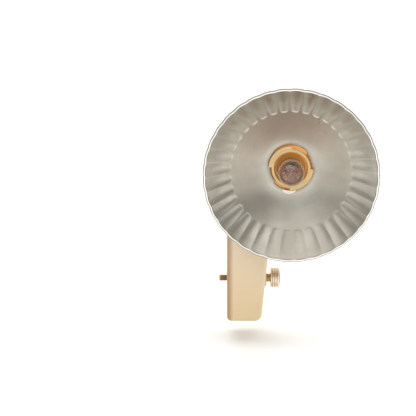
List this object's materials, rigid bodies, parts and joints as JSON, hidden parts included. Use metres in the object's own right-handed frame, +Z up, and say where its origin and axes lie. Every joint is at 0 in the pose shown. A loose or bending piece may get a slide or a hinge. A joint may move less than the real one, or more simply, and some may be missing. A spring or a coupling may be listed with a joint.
{
  "type": "flash bulb gun",
  "caption": "Small flash gun for a box camera: fluted twist-off reflector, capless bulb in a bayonet collar, cream case with a side thumb screw.",
  "frame": {"origin": "where the thumb screw's axis crosses the case's camera face", "axes": "+X away from the camera along the thumb screw, -Y the way the reflector faces, +Z up"},
  "size_m": [0.1138, 0.0681, 0.1598],
  "materials": {
    "case_plastic": "moulded cream plastic, softly glossy",
    "collar_plastic": "moulded cream plastic, yellowed",
    "ivory_plastic": "smooth ivory",
    "reflector_metal": "satin spun aluminium",
    "brass": "turned brass",
    "knob_metal": "worn nickel over brass",
    "nickel": "dull nickel plate",
    "spring_steel": "drawn spring steel",
    "phenolic": "moulded phenolic",
    "battery_card": "printed card sleeve without lettering",
    "capacitor_can": "drawn can",
    "seal_rubber": "matt",
    "resistor_body": "glazed",
    "wire_red": "insulation",
    "wire_black": "insulation",
    "wire_yellow": "insulation",
    "wire_green": "insulation",
    "plate_metal": "etched plate with ruled lines only",
    "foam": "foam rubber",
    "bulb_glass": "lacquered clear glass",
    "bulb_foil": "shredded bright foil",
    "bead_glass": "fused glass bead"
  },
  "bodies": {
    "case": {"case_shell": "case_plastic", "lamp_collar": "collar_plastic", "collar_nut": "brass", "reflector_spring": "spring_steel", "socket_block": "phenolic", "socket_clip_left": "brass", "socket_clip_right": "brass", "screw_bush": "brass", "pin_socket": "brass", "battery": "battery_card", "battery_terminals": "nickel", "battery_spring": "brass", "battery_contact": "brass", "capacitor": "capacitor_can", "capacitor_seal": "seal_rubber", "resistor": "resistor_body", "wire_charge": "wire_red", "wire_lamp": "wire_black", "wire_pin": "wire_yellow", "wire_screw": "wire_green", "cover_insert": "brass", "ejector_spring": "spring_steel"},
    "reflector": {"reflector": "reflector_metal", "reflector_stop": "ivory_plastic"},
    "ejector": {"ejector_button": "collar_plastic", "ejector_rod": "nickel"},
    "bulb": {"bulb_glass": "bulb_glass", "bulb_foil": "bulb_foil", "bulb_leads": "nickel", "bulb_bead": "bead_glass"},
    "retainer": {"screw_retainer": "spring_steel"},
    "thumb_screw": {"screw_rod": "nickel", "screw_knob": "knob_metal"},
    "cover": {"cover": "case_plastic", "exposure_plate": "plate_metal", "battery_pad": "foam"},
    "cover_screw": {"cover_screw": "nickel"}
  },
  "joints": [
    {"name": "reflector_twist", "type": "hinge", "parent": "case", "child": "reflector", "pos_m": [0.041, 0, 0.0778], "axis": [0, -1, 0], "range_deg": [0, 43]},
    {"name": "ejector_press", "type": "slide", "parent": "case", "child": "ejector", "axis": [0, -1, 0], "range_m": [0, 0.004], "stiffness_N_per_m": 300, "springref_m": -0.003, "deforming": ["ejector_spring"]},
    {"name": "bulb_pull", "type": "slide", "parent": "ejector", "child": "bulb", "axis": [0, -1, 0], "range_m": [0, 0.045]},
    {"name": "screw_travel", "type": "slide", "parent": "case", "child": "retainer", "axis": [1, 0, 0], "range_m": [0, 0.00397]},
    {"name": "screw_turn", "type": "hinge", "parent": "retainer", "child": "thumb_screw", "pos_m": [0, 0, 0], "axis": [1, 0, 0], "range_deg": [0, 1800]},
    {"name": "cover_lift", "type": "slide", "parent": "case", "child": "cover", "axis": [0, 1, 0], "range_m": [0, 0.03]},
    {"name": "cover_screw_turn", "type": "hinge", "parent": "cover", "child": "cover_screw", "pos_m": [0.0551, 0.018, 0.0947], "axis": [0, 1, 0], "continuous": true}
  ],
  "couplings": [
    {"joint": "screw_travel", "follows": "screw_turn", "m_per_rad": 0.00012637}
  ]
}
